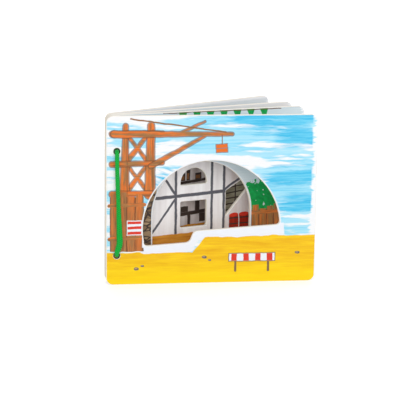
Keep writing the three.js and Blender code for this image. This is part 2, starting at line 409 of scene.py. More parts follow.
class Picture:
    """A print on one side of a board, painted layer over layer, in millimetres on the board.

    x runs from left to right as that side is seen, and z runs up from the foot.
    """

    def __init__(self, name, place, mirrored):
        self.material, self.build, self.shader = new_material(name)
        self.shader.inputs["Specular IOR Level"].default_value = 0.25
        self.board = board_point(self.build, place)
        sides = self.build.apart(self.board)
        x = self.build.math("SUBTRACT", BOARD_WIDTH / MM, sides[0]) if mirrored else sides[0]
        self.flat = self.build.together(sides[0], sides[2])
        self.point = self.build.together(x, sides[2])
        self.hand = self.build.group(WOBBLE, Point=self.point)
        self.colour = BARE_PRINT

    def streaks(self, angle=0.0, length=60.0, width=3.0, seed=0.0):
        return self.build.group(
            BRUSH, Point=self.hand, Angle=math.radians(angle), Length=length, Width=width, Seed=seed)

    def wash(self, thin, full, **brush):
        """A colour that runs from thin to full paint along brush streaks."""
        return self.build.mix(self.streaks(**brush), thin, full)

    def lay(self, masks, colour, strength=1.0):
        """Paint over what is there, inside one mask or a list of them."""
        mask = self.either(*masks) if isinstance(masks, list) else masks
        if strength != 1.0:
            mask = self.build.math("MULTIPLY", mask, strength)
        self.colour = self.build.mix(mask, self.colour, colour)

    def brush(self, masks, thin, full, **brush):
        self.lay(masks, self.wash(thin, full, **brush))

    def shape(self, group, softness, **inputs):
        return self.build.group(group, Point=self.hand, Softness=softness, **inputs)

    def box(self, x, z, width, height, angle=0.0, softness=0.5):
        half = (width / 2, height / 2, 1)
        return self.shape(BOX, softness, Centre=(x, z, 0), Half_size=half, Angle=math.radians(-angle))

    def disc(self, x, z, radius, height=None, softness=0.5):
        return self.shape(DISC, softness, Centre=(x, z, 0), Radii=(radius, height or radius, 1))

    def stroke(self, start, end, width, end_width=None, softness=0.5):
        return self.shape(
            STROKE, softness, Start=(*start, 0), End=(*end, 0), Start_width=width,
            End_width=end_width or width)

    def strokes(self, width, *lines):
        """Strokes of one width, each from a start to an end."""
        return [self.stroke(start, end, width) for start, end in lines]

    def ground(self, height, slope=0.0, wave=2.0, softness=0.6):
        return self.shape(GROUND, softness, Height=height, Slope=slope, Wave=wave)

    def both(self, first, second):
        return self.build.math("MULTIPLY", first, second)

    def either(self, *masks):
        """One mask for several shapes that share a paint."""
        joined = masks[0]
        for mask in masks[1:]:
            joined = self.build.math("MAXIMUM", joined, mask)
        return joined

    def finish(self):
        build = self.build
        grain = build.noise(build.vector("MULTIPLY", self.board, (0.12, 1.0, 1.6)), 1.0, 4.0)
        colour = build.scaled(self.colour, build.span(grain, 0.3, 0.7, 0.965, 1.0))
        build.dress(self.shader, colour, grain, PRINT_ROUGHNESS, grain, strength=0.08, distance=0.2 * MM)
        return self.material


def board_point(build, place):
    """The point in a board's own frame, in millimetres: from the spine, through the board and up."""
    coordinates = build.node("ShaderNodeTexCoord").outputs["Object"]
    back = place.inverted()
    mapping = build.node("ShaderNodeMapping", (coordinates,), vector_type="POINT")
    mapping.inputs["Location"].default_value = back.to_translation() / MM
    mapping.inputs["Rotation"].default_value = back.to_euler("XYZ")
    mapping.inputs["Scale"].default_value = (1 / MM, 1 / MM, 1 / MM)
    return mapping.outputs[0]


MIDDLE_PLY_ENDS = (0.55, 0.75)
HOLE_SHADE_REACH = 0.4


def edge_material(name, place):
    """The cut edge of the board: pale plies, with the middle one's end grain, and painted shade darkening
    the walls of the cord holes.
    """
    material, build, shader = new_material(name)
    point = board_point(build, place)
    sides = build.apart(point)
    middle = BOARD_THICKNESS / MM / 2
    away = build.math("ABSOLUTE", build.math("SUBTRACT", sides[1], middle))
    core = build.span(away, *MIDDLE_PLY_ENDS, 1.0, 0.0)
    fibre = build.noise(build.vector("MULTIPLY", point, (1.2, 4.0, 1.2)), 1.0, 4.0)
    outer = build.mix(fibre, OUTER_PLY, OUTER_PLY_PALE)
    inner = build.mix(fibre, MIDDLE_PLY, MIDDLE_PLY_PALE)
    wood = build.mix(core, outer, inner)
    across = build.together(sides[0], sides[2])
    from_holes = [
        build.vector("DISTANCE", across, (CORD_HOLE_FROM_SPINE / MM, height / MM, 0))
        for height in (CORD_HOLE_LOW, CORD_HOLE_HIGH)]
    wall = CORD_HOLE_RADIUS / MM
    # Painted shade: the edge darkens near the walls of the cord holes, where little light reaches.
    in_hole = build.span(build.math("MINIMUM", *from_holes), wall, wall + HOLE_SHADE_REACH, 1.0, 0.0)
    colour = build.mix(in_hole, wood, HOLE_PAINTED_SHADE)
    build.dress(shader, colour, fibre, EDGE_ROUGHNESS, fibre, strength=0.2, distance=0.2 * MM)
    return material


# Colours of the wood, the cord and the paint
OUTER_PLY = srgb(250, 244, 234)
OUTER_PLY_PALE = srgb(255, 252, 246)
MIDDLE_PLY = srgb(236, 222, 200)
MIDDLE_PLY_PALE = srgb(247, 238, 220)
# Painted shade for the walls of the cord holes
HOLE_PAINTED_SHADE = srgb(70, 58, 48)
# The cord's green in painted shade, for the braid's grooves, and in painted light, for its crests
CORD_SHADED_GREEN = srgb(0, 128, 40)
CORD_LIT_GREEN = srgb(4, 194, 68)
BARE_PRINT = srgb(243, 244, 246)
PALE = srgb(236, 240, 248)
SKY_THIN = srgb(176, 228, 246)
SKY_FULL = srgb(110, 208, 240)
SKY_DEEP = srgb(46, 182, 228)
OCHRE_THIN = srgb(255, 216, 24)
OCHRE_FULL = srgb(238, 184, 6)
OCHRE_DEEP = srgb(226, 152, 20)
SUN_YELLOW = srgb(255, 222, 0)
TIMBER_ORANGE = srgb(228, 110, 34)
TIMBER_BROWN = srgb(146, 100, 60)
TIMBER_PALE = srgb(214, 158, 92)
TIMBER_DARK = srgb(112, 72, 44)
STACK_PALE = srgb(186, 132, 82)
STACK_DEEP = srgb(136, 86, 48)
SIGNAL_RED = srgb(220, 58, 40)
BRICK_RED = srgb(188, 48, 26)
BRICK_DARK = srgb(128, 34, 22)
LEAF_GREEN = srgb(0, 138, 62)
LEAF_LIGHT = srgb(14, 168, 80)
STONE = srgb(182, 154, 118)
STONE_DARK = srgb(130, 102, 72)
GREY_SKY = srgb(200, 211, 217)
GREY_SKY_THIN = srgb(218, 226, 229)
SLATE = srgb(92, 92, 100)
WALL = srgb(250, 247, 248)
WALL_SHADE = srgb(235, 230, 231)
SIDE_WALL = srgb(222, 212, 209)
EARTH_THIN = srgb(226, 160, 60)
EARTH_FULL = srgb(192, 118, 38)
NIGHT = srgb(66, 54, 48)
DUSK_GREEN = srgb(128, 122, 88)
DUSK_PALE = srgb(176, 174, 152)
PLASTER = srgb(236, 232, 230)
NICHE_PALE = srgb(236, 230, 228)
NICHE_SHADE = srgb(200, 190, 186)
ROOM_WALL = srgb(224, 226, 232)

# The windows as the part cuts them, in millimetres on the board: each is a list of shapes that make it up
SLANT_FOOT = 133.4
SLANT_WIDTH = 27
SLANT_SILL = 55.8
SLANT_HEAD = 82.3
SLANT_SILL_SLOPE = 1.074
SLANT_HEAD_SLOPE = 0.53
RIM_SOFTNESS = 0.6
WINDOWS = {
    "front_cover": [("arch", 105, 56, 68.7, 51), ("box", 60, 48, 46, 18), ("box", 129, 59, 88, 8)],
    "arch_page": [("arch", 99.5, 66, 52.5, 66), ("box", 99.5, 48, 105, 36)],
    "window_page": [("arch", 96.4, 94.2, 14.9, 92), ("box", 96.4, 61.5, 29.8, 27), ("slant",)],
}


def window_rim(art, node, width, colour):
    """A painted band round each window of a board."""
    build = art.build
    masks = []
    sides = build.apart(art.flat)

    def box(x, z, across, up):
        return build.group(
            BOX, Point=art.flat, Centre=(x, z, 0),
            Half_size=(across / 2 + width, up / 2 + width, 1), Softness=RIM_SOFTNESS)

    for kind, *sizes in WINDOWS[node]:
        if kind == "arch":
            x, z, radius, foot = sizes
            disc = build.group(
                DISC, Point=art.flat, Centre=(x, z, 0), Radii=(radius + width, radius + width, 1),
                Softness=RIM_SOFTNESS)
            above = build.span(sides[1], foot - width, foot - width + RIM_SOFTNESS)
            mask = art.both(disc, above)
        elif kind == "box":
            mask = box(*sizes)
        else:
            sill = build.math("MULTIPLY_ADD", sides[0], -SLANT_SILL_SLOPE, sides[1])
            head = build.math("MULTIPLY_ADD", sides[0], -SLANT_HEAD_SLOPE, sides[1])
            low = SLANT_SILL - SLANT_FOOT * SLANT_SILL_SLOPE - 1.45 * width
            high = SLANT_HEAD - SLANT_FOOT * SLANT_HEAD_SLOPE + 1.1 * width
            over = build.span(sill, low, low + 0.5)
            under = build.span(head, high, high + 0.5, 1.0, 0.0)
            between = box(SLANT_FOOT + SLANT_WIDTH / 2, 76, SLANT_WIDTH, 80 - 2 * width)
            mask = art.both(art.both(over, under), between)
        masks.append(mask)
    art.lay(masks, colour)


SKY_ENDS = (204.5, 206.0)
DEEP_SKY_ENDS = (204.0, 205.5)


def open_sky(art, bias, thin=SKY_THIN, full=SKY_FULL):
    """Broad brush strokes with bare gaps, ragged where they end on the right."""
    build = art.build
    broad = build.math("ADD", art.streaks(length=95, width=12, seed=11.0), bias)
    strokes = build.span(broad, 0.4, 0.56)
    ragged = build.math("SUBTRACT", art.streaks(length=400, width=4), 0.5)
    out = build.math("MULTIPLY_ADD", ragged, 7.0, build.apart(art.hand)[0])
    fine = art.wash(thin, full, length=60, width=1.6, seed=3.0)
    colour = build.mix(art.streaks(length=80, width=9, seed=6.0), thin, fine)
    art.lay(art.both(strokes, build.span(out, *SKY_ENDS, 1.0, 0.0)), colour)


def deep_strokes(art, area, seed, angle=0.0):
    """A second, stronger coat of sky paint over part of the first."""
    build = art.build
    streaks = art.streaks(angle=angle, length=45, width=4.5, seed=seed)
    brushed = build.span(build.math("MULTIPLY_ADD", streaks, 0.7, area), 0.75, 1.15)
    fine = art.wash(SKY_FULL, SKY_DEEP, angle=angle, length=30, width=1.2, seed=seed + 0.5)
    out = build.apart(art.hand)[0]
    art.lay(art.both(brushed, build.span(out, *DEEP_SKY_ENDS, 1.0, 0.0)), fine)


def ochre_ground(art, mask):
    """Ochre laid flat, deeper towards its top, with a sunny yellow near the foot of the board."""
    build = art.build
    broad = art.wash(OCHRE_THIN, OCHRE_FULL, length=50, width=6, seed=5.0)
    fine = build.mix(
        build.math("MULTIPLY", art.streaks(length=22, width=1.4, seed=21.0), 0.4), broad, OCHRE_DEEP)
    art.lay(mask, fine)
    art.lay(art.both(mask, art.ground(17, 0.0, 12.0, softness=22)), SUN_YELLOW, 0.7)


def timber_paint(art, seed, angle=90.0):
    """Orange, brown and pale strokes along a timber."""
    build = art.build
    streaks = art.streaks(angle=angle, length=34, width=3.4, seed=seed)
    body = build.mix(build.span(streaks, 0.3, 0.75), TIMBER_ORANGE, TIMBER_BROWN)
    return build.mix(
        build.math("MULTIPLY", art.streaks(angle=angle, length=16, width=1.1, seed=seed + 0.3), 0.3),
        body, TIMBER_PALE)


def planking(art, x, foot, count, width, height):
    """Upright planks side by side with dark joints, cut off unevenly at the top."""
    length = count * width
    art.lay(art.box(x + length / 2, foot + height / 2 - 1.5, length + 0.6, height - 3), TIMBER_DARK)
    planks = []
    for index in range(count):
        top = height + 2.5 * math.sin(2.1 * index)
        planks.append(art.box(
            x + width * (index + 0.5), foot + top / 2, width - 1.0, top, angle=1.2 * math.sin(3.3 * index)))
    patches = art.streaks(angle=90, length=60, width=14, seed=33.0)
    browns = art.wash(STACK_PALE, STACK_DEEP, angle=90, length=30, width=1.4, seed=31.0)
    art.lay(planks, art.build.mix(patches, timber_paint(art, 30.0), browns))
    heights = [foot + share * height for share in (0.22, 0.8)]
    rails = art.strokes(3.6, *[((x - 1, low), (x + length + 1, low + 1)) for low in heights])
    art.lay(rails, timber_paint(art, 27.0, angle=0.0))


def draw_timbers(art, timbers, paint):
    """Round-ended timbers, each (start, end, width, end width), with a dark line along their edges."""
    area = art.either(*[art.stroke(*timber, softness=3.0) for timber in timbers])
    art.lay(art.build.span(area, 0.25, 0.45), TIMBER_DARK, 0.75)
    art.lay(art.build.span(area, 0.55, 0.85), paint)


def scaffold(art, x, foot, levels, width=26, storey=30):
    """A braced timber tower: two posts, a deck at each level and crossed braces between the decks."""
    planks = timber_paint(art, 8.0, angle=0.0)
    top = foot + levels * storey
    far = x + width
    decks = [foot + level * storey for level in range(levels + 1)]
    braces = []
    for low, high in zip(decks, decks[1:]):
        braces.append(((x + 2, low + 2), (far - 2, high), 5.2, 3.8))
        braces.append(((far - 2, low + 2), (x + 2, high), 4.2, 3.2))
    draw_timbers(art, braces, planks)
    posts = [((x, foot), (x + 1, top + 8), 9.8, 5.8), ((far, foot), (far + 1, top + 8), 11.2, 7.2)]
    draw_timbers(art, posts, timber_paint(art, 2.0))
    draw_timbers(art, [((x - 12, deck), (far + 12, deck + 1), 6.6, 4.8) for deck in decks], planks)
    shades = art.strokes(1.4, *[((side + 2.8, foot), (side + 2.6, top + 4)) for side in (x, far)])
    shades += art.strokes(1.0, *[((x - 11, deck - 1.6), (far + 11, deck - 0.6)) for deck in decks])
    art.lay(shades, TIMBER_DARK, 0.45)


def timber_stack(art, x, foot, length, rows, thickness=7.0):
    """Sawn planks lying on each other, each a little out of line."""
    shadows = []
    planks = []
    for row in range(rows):
        place = x + 2.2 * (row % 2) - 1.0
        height = foot + (row + 0.5) * thickness
        shadows.append(art.box(place, height, length, thickness + 0.6))
        planks.append(art.box(place, height, length - 1.0, thickness - 0.7))
    art.lay(shadows, NIGHT)
    art.brush(planks, STACK_PALE, STACK_DEEP, length=34, width=1.2, seed=4.0)


def foliage(art, *areas):
    """Leaves with a ragged outline, in two greens, where the soft areas are."""
    build = art.build
    area = art.either(*areas)
    lumps = build.noise(art.hand, 0.22, 3.0)
    mask = build.span(build.math("MULTIPLY_ADD", area, 0.45, lumps), 0.74, 0.79)
    art.brush(mask, LEAF_GREEN, LEAF_LIGHT, angle=40, length=5, width=3, seed=9.0)


def pennants(art, x, count, spacing=14.5):
    """Green flags on a line along the top of the board."""
    flags = [
        art.stroke((x + spacing * index, 172), (x + spacing * index + 1, 157 + index % 2), 10.5, 0.6)
        for index in range(count)]
    art.brush(flags, LEAF_GREEN, LEAF_LIGHT, angle=80, length=9, width=3, seed=9.0)
    art.lay(art.stroke((x - 20, 169), (x + spacing * count + 4, 168.6), 0.9), TIMBER_DARK)


def stone_wall(art, mask, stone_long=10.0, stone_high=5.5):
    """Rough stones in courses, with dark joints."""
    build = art.build
    point = build.vector("DIVIDE", art.hand, (stone_long, stone_high, 1.0))
    joints = build.node("ShaderNodeTexVoronoi", feature="DISTANCE_TO_EDGE")
    stones = build.node("ShaderNodeTexVoronoi", feature="F1")
    for node in (joints, stones):
        build.put(node.inputs["Vector"], point)
        node.inputs["Scale"].default_value = 1.0
        node.inputs["Randomness"].default_value = 0.7
    each = build.apart(stones.outputs["Color"])[0]
    tone = build.mix(each, STONE, STONE_DARK)
    shade = build.math("MULTIPLY", art.streaks(length=9, width=2, seed=19.0), 0.35)
    tone = build.mix(shade, tone, NIGHT)
    line = build.span(joints.outputs["Distance"], 0.05, 0.09)
    art.lay(mask, build.mix(line, NIGHT, tone))


def barrier(art, x, foot, stripes=4, pitch=12.0):
    """A striped plank on two short legs."""
    length = pitch * stripes - 2
    middle = foot + 14
    places = [x + share * length for share in (-0.36, 0.36)]
    legs = art.strokes(2.2, *[((place, foot), (place, middle)) for place in places])
    art.lay([art.box(x, middle, length + 1.6, 9.0), *legs], STONE_DARK)
    art.lay(art.box(x, middle, length, 7.4), PALE)
    start = x - length / 2 + 5
    reds = [art.box(start + pitch * stripe, middle, 5.6, 7.4) for stripe in range(stripes)]
    art.lay(reds, SIGNAL_RED)


def cone(art, x, foot, height, bands=5):
    """A road cone from flat bands, narrower towards its tip, on a square foot."""
    bodies = ([art.box(x, foot, height * 0.7, 2.4)], [])
    for band in range(bands):
        middle = foot + height * (band + 0.5) / bands
        width = height * 0.5 * (1 - 0.85 * band / bands)
        bodies[band % 2].append(art.box(x, middle, width, height / bands))
    art.lay(bodies[0], SIGNAL_RED)
    art.lay(bodies[1], PALE)


def brick_pile(art, x, foot, rows, columns):
    """A heap of bricks in three reds, each laid a little askew."""
    art.lay(art.box(x + 4.4 * (columns - 1), foot + 2.4 * rows, 8.6 * columns, 4.6 * rows), BRICK_DARK)
    bricks = ([], [], [])
    for row in range(rows):
        for column in range(columns - row // 3):
            place = x + 9.0 * column + 4.0 * (row % 2)
            askew = 4.0 * math.sin(5.0 * row + 2.0 * column)
            bricks[(row + 2 * column) % 3].append(
                art.box(place, foot + 2.6 + 5.0 * row, 8.4, 4.3, angle=askew))
    for masks, tone in zip(bricks, (BRICK_RED, SIGNAL_RED, BRICK_DARK)):
        art.lay(masks, tone)


def pebbles(art, *places):
    """Small grey stones, each (x, z, size), with a lighter top."""
    art.lay([art.disc(x, z, size, size * 0.6) for x, z, size in places], SLATE)
    art.lay([art.disc(x - 0.3, z + 0.3, size * 0.6, size * 0.3) for x, z, size in places], STONE)


def barrels(art, x, foot, count, width=11, height=17):
    """Red barrels side by side, with darker hoops and a lid seen from a little above."""
    places = [x + (width + 1) * index for index in range(count)]
    bodies = [art.box(place, foot + height / 2, width, height) for place in places]
    lids = [art.disc(place, foot + height, width / 2, 2.2) for place in places]
    art.brush(bodies + lids, BRICK_RED, BRICK_DARK, angle=90, length=20, width=2, seed=7.5)
    length = (width + 1) * count - 1
    middle = x + (length - width) / 2
    hoops = [art.box(middle, foot + height * share, length, 1.3) for share in (0.12, 0.45, 0.8)]
    art.lay(art.both(art.either(*hoops), art.either(*bodies)), NIGHT)
    art.lay(lids, SIGNAL_RED)


def timbered_wall(art):
    """A pale wall with slate-grey posts, rails and braces, and a pinker bay at its fore edge."""
    art.brush(art.box(105, 95, 200, 150, softness=2), GREY_SKY_THIN, PLASTER, length=60, width=10, seed=1.0)
    art.brush(art.box(92, 80, 92, 92), WALL_SHADE, WALL, angle=90, length=70, width=9, seed=7.0)
    art.brush(art.box(164, 71, 64, 74), SIDE_WALL, WALL_SHADE, angle=90, length=60, width=7, seed=12.0)
    roof = art.strokes(9.0, *[((x, 134), (x + 6, 122)) for x in range(38, 203, 11)])
    art.brush(roof, TIMBER_ORANGE, STONE, angle=60, length=30, width=2, seed=13.0)
    timbers = art.strokes(2.8, *[((x, 42), (x, 122)) for x in (48, 76, 117, 131, 194)])
    timbers += art.strokes(3.4, ((46, 81), (196, 83)), ((46, 121), (196, 122)))
    timbers += art.strokes(
        2.4, ((49, 45), (75, 78)), ((75, 84), (51, 118)), ((132, 84), (190, 118)), ((166, 45), (192, 80)))
    art.lay(timbers, SLATE)
    art.brush(art.ground(42.5, 0.0, 3.0), EARTH_THIN, EARTH_FULL, length=30, width=4, seed=14.0)
    barrels(art, 143, 39, 3)


def store_room(art, wall):
    """A niche with a shelf of jars and a workbench, a green cupboard, a rack, a ladder and a lamp."""
    art.brush(art.box(105, 85, 205, 165, softness=2), GREY_SKY_THIN, wall, length=90, width=14, seed=15.0)
    wooden = [art.box(108, 84, 78, 92), art.box(166, 68, 47, 59)]
    wooden += art.strokes(4.0, ((8, 92), (58, 93)))
    wooden += art.strokes(3.0, ((12, 92), (12, 44)), ((54, 92), (54, 44)))
    art.lay(wooden, timber_paint(art, 50.0, angle=0.0))
    art.brush(art.box(108, 84, 70, 88), NICHE_PALE, NICHE_SHADE, angle=90, length=50, width=9, seed=16.0)
    darks = [art.stroke((76, 89), (140, 90), 3.0), art.stroke((76, 56), (140, 56.5), 4.0)]
    darks += [art.box(x, 48, 4, 16) for x in (80, 104, 134)]
    darks += [art.stroke((33, 168), (33, 142), 1.0), art.box(22, 99, 14, 11), art.box(42, 98, 10, 9)]
    jars = []
    for x, width, height in ((84, 8, 10), (96, 6, 8), (103, 5, 11), (116, 8, 7), (129, 6, 12)):
        darks.append(art.box(x, 91 + height / 2, width, height))
        jars.append(art.box(x - 0.4, 91 + height * 0.4, width - 2.2, height * 0.55))
    darks += [art.box(98, 61, 10, 6), art.box(115, 63.5, 6, 11), art.box(122, 50, 9, 9)]
    art.lay(darks, NIGHT)
    jars += [art.box(22, 99, 12, 9), art.box(42, 98, 8, 7), art.disc(33, 138, 8, 6)]
    art.lay(jars, TIMBER_BROWN)
    art.brush(art.box(166, 68, 42, 54), DUSK_GREEN, DUSK_PALE, length=30, width=9, seed=22.0)
    slats = art.strokes(1.3, *[((149, height), (183, height + 0.6)) for height in range(47, 94, 6)])
    art.lay([art.box(166, 68, 1.6, 54), *slats], NIGHT)
    art.brush(art.ground(44, 0.0, 3.0), EARTH_THIN, EARTH_FULL, length=40, width=4, seed=17.0)
    timber_stack(art, 34, 36, 34, 4)
    ladder = art.strokes(2.0, ((62, 38), (72, 118)), ((72, 38), (80, 118)))
    ladder += art.strokes(1.4, *[
        ((62.5 + rung, 44 + 8 * rung), (72.5 + 0.9 * rung, 44 + 8 * rung)) for rung in range(10)])
    art.lay(ladder, TIMBER_DARK)


def cover_picture(art):
    """Sky and ochre ground, with planking and a braced timber tower at the spine side."""
    build = art.build
    top_band = art.box(150, 152, 150, 34, softness=22)
    patch = art.box(176, 92, 50, 46, softness=18)
    bare = art.box(30, 130, 60, 90, softness=40)
    bias = build.math("MULTIPLY_ADD", art.either(top_band, patch), 0.3, -0.02)
    open_sky(art, build.math("MULTIPLY_ADD", bare, -0.12, bias))
    deep_strokes(art, art.either(
        art.disc(168, 165, 60, 9, softness=60), art.disc(192, 147, 40, 9, softness=45),
        art.disc(194, 107, 40, 11, softness=45), art.disc(200, 80, 30, 12, softness=36)), 40.0)
    deep_strokes(art, art.disc(56, 84, 14, 30, softness=14), 43.0, angle=20.0)
    sides = build.apart(art.hand)
    past_step = build.span(build.math("MULTIPLY_ADD", sides[1], -0.8, sides[0]), 60.0, 61.0)
    fore_ground = art.both(art.ground(46, 0.01, 5.0), past_step)
    art.lay(art.box(131, 52, 94, 12, angle=3.4), PALE)
    ochre_ground(art, art.either(art.ground(33, -0.01, 3.0), fore_ground))
    rim_foot = [art.stroke((38, 35.5), (84, 37), 8.6), art.stroke((84, 40), (92, 51), 8)]
    art.lay([art.box(41, 47, 13, 30), *rim_foot], PALE)
    scaffold(art, 18, 92, 2, width=25)
    planking(art, 4, 34, 4, 8.2, 58)
    jib = [((8, 152), (124, 151), 7.8, 3.8), ((44, 120), (98, 150), 5.8, 3.0)]
    jib.append(((72, 152), (97, 164), 3.4, 2.2))
    draw_timbers(art, jib, timber_paint(art, 18.0, angle=0.0))
    art.lay(art.box(114, 137, 12.4, 9.4, angle=3), TIMBER_DARK, 0.75)
    art.lay([art.box(114, height, 11, 3.6, angle=3) for height in (139.2, 134.9)], TIMBER_ORANGE)
    ropes = [art.stroke((24, 167), (118, 153), 1.5), art.stroke((114, 150), (114, 141), 1.0)]
    art.lay(ropes, TIMBER_BROWN)
    art.lay(art.box(28, 58, 15, 15), PALE)
    art.lay([art.box(28, 52.8 + 5.2 * row, 13.6, 2.8) for row in range(3)], SIGNAL_RED)
    window_rim(art, "front_cover", 1.3, PALE)
    barrier(art, 146, 12)
    pebbles(art, (30, 16, 2.6), (36, 19, 1.8), (98, 27, 2.4), (103, 24, 1.6), (192, 30, 2.4))


def cover_inside_picture(art):
    open_sky(art, 0.12)
    foliage(art, art.box(105, 54, 200, 26, softness=9))
    ochre_ground(art, art.ground(46))
    timber_stack(art, 168, 20, 46, 3)
    cone(art, 22, 16, 22)
    cone(art, 122, 10, 18)
    window_rim(art, "front_cover", 1.8, PALE)
    pebbles(art, (60, 18, 2.4), (66, 22, 1.8), (140, 14, 2.4))


def arch_page_picture(art):
    open_sky(art, 0.4, GREY_SKY_THIN, GREY_SKY)
    pennants(art, 78, 7)
    foliage(
        art, art.disc(156, 76, 17, 20, softness=9), art.disc(176, 88, 15, 26, softness=9),
        art.disc(192, 74, 14, 18, softness=9))
    ochre_ground(art, art.ground(42))
    stone_wall(art, art.box(25, 66, 52, 62))
    planking(art, 146, 36, 7, 8.0, 32)
    window_rim(art, "arch_page", 1.4, PALE)


def arch_page_back_picture(art):
    open_sky(art, 0.4, GREY_SKY_THIN, GREY_SKY)
    foliage(art, art.box(158, 60, 40, 34, softness=9))
    ochre_ground(art, art.ground(46))
    scaffold(art, 14, 40, 3, width=24)
    brick_pile(art, 170, 30, 6, 4)
    window_rim(art, "arch_page", 1.4, PALE)


def window_page_picture(art):
    timbered_wall(art)
    window_rim(art, "window_page", 0.6, PALE)


def window_page_back_picture(art):
    store_room(art, WALL)
    window_rim(art, "window_page", 2.6, TIMBER_DARK)
    window_rim(art, "window_page", 1.6, PALE)


def back_cover_inside_picture(art):
    store_room(art, ROOM_WALL)


def back_cover_picture(art):
    open_sky(art, 0.1)
    deep_strokes(art, art.either(
        art.disc(90, 158, 90, 11, softness=60), art.disc(60, 118, 60, 9, softness=45)), 45.0)
    foliage(art, art.box(60, 56, 120, 30, softness=9))
    ochre_ground(art, art.ground(48))
    scaffold(art, 150, 40, 3)
    timber_stack(art, 66, 22, 64, 4)
    barrier(art, 120, 8)
    cone(art, 16, 16, 24)
    pebbles(art, (30, 12, 2.4), (176, 18, 2.8), (182, 14, 2.0))


SAME_POINT = 0.01 * MM
FLAT_WITHIN = math.radians(0.5)
SHARP_FROM = math.radians(30)
FACING = 0.9


def board_piece(node, place, front, back, edge):
    """A smooth-sided copy of the CAD board, with its own finish on each side and on its cut edges."""
    source = frame["nodes"][node]
    shape = bmesh.new()
    shape.from_mesh(source.data)
    bmesh.ops.remove_doubles(shape, verts=shape.verts, dist=SAME_POINT)
    bmesh.ops.dissolve_limit(shape, angle_limit=FLAT_WITHIN, verts=shape.verts, edges=shape.edges)
    inwards = place.to_3x3() @ Vector((0, 1, 0))
    for face in shape.faces:
        lean = face.normal.dot(inwards)
        face.material_index = 0 if lean < -FACING else 1 if lean > FACING else 2
        face.smooth = True
    for line in shape.edges:
        line.smooth = line.calc_face_angle(0) < SHARP_FROM
    piece = add_piece(node + "_board", shape, front, back, edge)
    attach(piece, node)
    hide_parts(node)


# The prints of each board, its front side first. The back side is the mirrored one.
PRINTS = {
    "front_cover": (("cover print", cover_picture), ("cover inside print", cover_inside_picture)),
    "arch_page": (
        ("arch page print", arch_page_picture), ("arch page back print", arch_page_back_picture)),
    "window_page": (
        ("window page print", window_page_picture), ("window page back print", window_page_back_picture)),
    "back_cover": (
        ("back cover inside print", back_cover_inside_picture), ("back cover print", back_cover_picture)),
}


def make_boards():
    for node, place in zip(BOARD_NODES, PLACES):
        finishes = []
        for mirrored, (name, paint) in enumerate(PRINTS[node]):
            art = Picture(name, place, mirrored)
            paint(art)
            finishes.append(art.finish())
        board_piece(node, place, *finishes, edge_material(node + " edge", place))


make_boards()


# The cord, in pieces that each follow one board or bridge the gap between two
CORD_WIDTH = 2 * CORD_RADIUS
CORD_SIDES = 16
CURVE_STEPS = 8
BEND_STEPS = 3
FUZZ_PER_METRE = 900
LAST = len(BOARD_NODES) - 1

# Each hole's height, and the way that the cord turns in it: 1 up, -1 down
HOLES = ((CORD_HOLE_LOW, 1), (CORD_HOLE_HIGH, -1))


def on_board(index, x, depth, height):
    return PLACES[index] @ Vector((x, depth, height))


def in_hole(index, depth, hole, way):
    """A point of the cord inside a hole, where it lies against the side that it turns to."""
    return on_board(index, CORD_HOLE_FROM_SPINE, depth, hole + way * (CORD_HOLE_RADIUS - CORD_BEND_RADIUS))


def bend_points(index, hole, side, way):
    """The quarter turn from a hole onto a face, where side is -1 on the print and 1 on the back."""
    face = 0 if side < 0 else BOARD_THICKNESS
    edge = hole + way * CORD_HOLE_RADIUS
    points = []
    for step in range(BEND_STEPS + 1):
        angle = step / BEND_STEPS * math.pi / 2
        out = side * CORD_OFFSET * math.sin(angle)
        height = edge - way * CORD_BEND_RADIUS * math.cos(angle)
        points.append(on_board(index, CORD_HOLE_FROM_SPINE, face + out, height))
    return points


def smooth_line(points):
    """Points along a smooth curve through the given ones."""
    data = bpy.data.curves.new("line", "CURVE")
    data.dimensions = "3D"
    spline = data.splines.new("BEZIER")
    spline.bezier_points.add(len(points) - 1)
    spline.resolution_u = CURVE_STEPS
    for knot, point in zip(spline.bezier_points, points):
        knot.co = point
        knot.handle_left_type = knot.handle_right_type = "AUTO"
    holder = bpy.data.objects.new("line", data)
    line = [vertex.co.copy() for vertex in holder.to_mesh().vertices]
    holder.to_mesh_clear()
    bpy.data.objects.remove(holder)
    bpy.data.curves.remove(data)
    return line


def lay_tube(shape, line, side, section, capped=False):
    """Rings along a line, bridged. Section gives the width and height at a share of the length."""
    ring_layer = shape.verts.layers.float.get("along") or shape.verts.layers.float.new("along")
    turn_layer = shape.verts.layers.int.get("turn") or shape.verts.layers.int.new("turn")
    lengths = [0.0]
    for before, after in zip(line, line[1:]):
        lengths.append(lengths[-1] + (after - before).length)
    last_edges = None
    for index, point in enumerate(line):
        before = line[max(index - 1, 0)]
        after = line[min(index + 1, len(line) - 1)]
        way = (after - before).normalized()
        across = (side - way * side.dot(way)).normalized()
        width, height = section(lengths[index] / lengths[-1])
        turn = Matrix((across * width / 2, way.cross(across) * height / 2, way)).transposed().to_4x4()
        ring = bmesh.ops.create_circle(
            shape, segments=CORD_SIDES, radius=1, matrix=Matrix.Translation(point) @ turn)["verts"]
        for number, vertex in enumerate(ring):
            vertex[ring_layer] = lengths[index]
            vertex[turn_layer] = number
        edges = list(dict.fromkeys(edge for vertex in ring for edge in vertex.link_edges))
        if last_edges:
            bmesh.ops.bridge_loops(shape, edges=last_edges + edges)
        elif capped:
            bmesh.ops.contextual_create(shape, geom=ring)
        last_edges = edges
    if capped:
        bmesh.ops.contextual_create(shape, geom=ring)


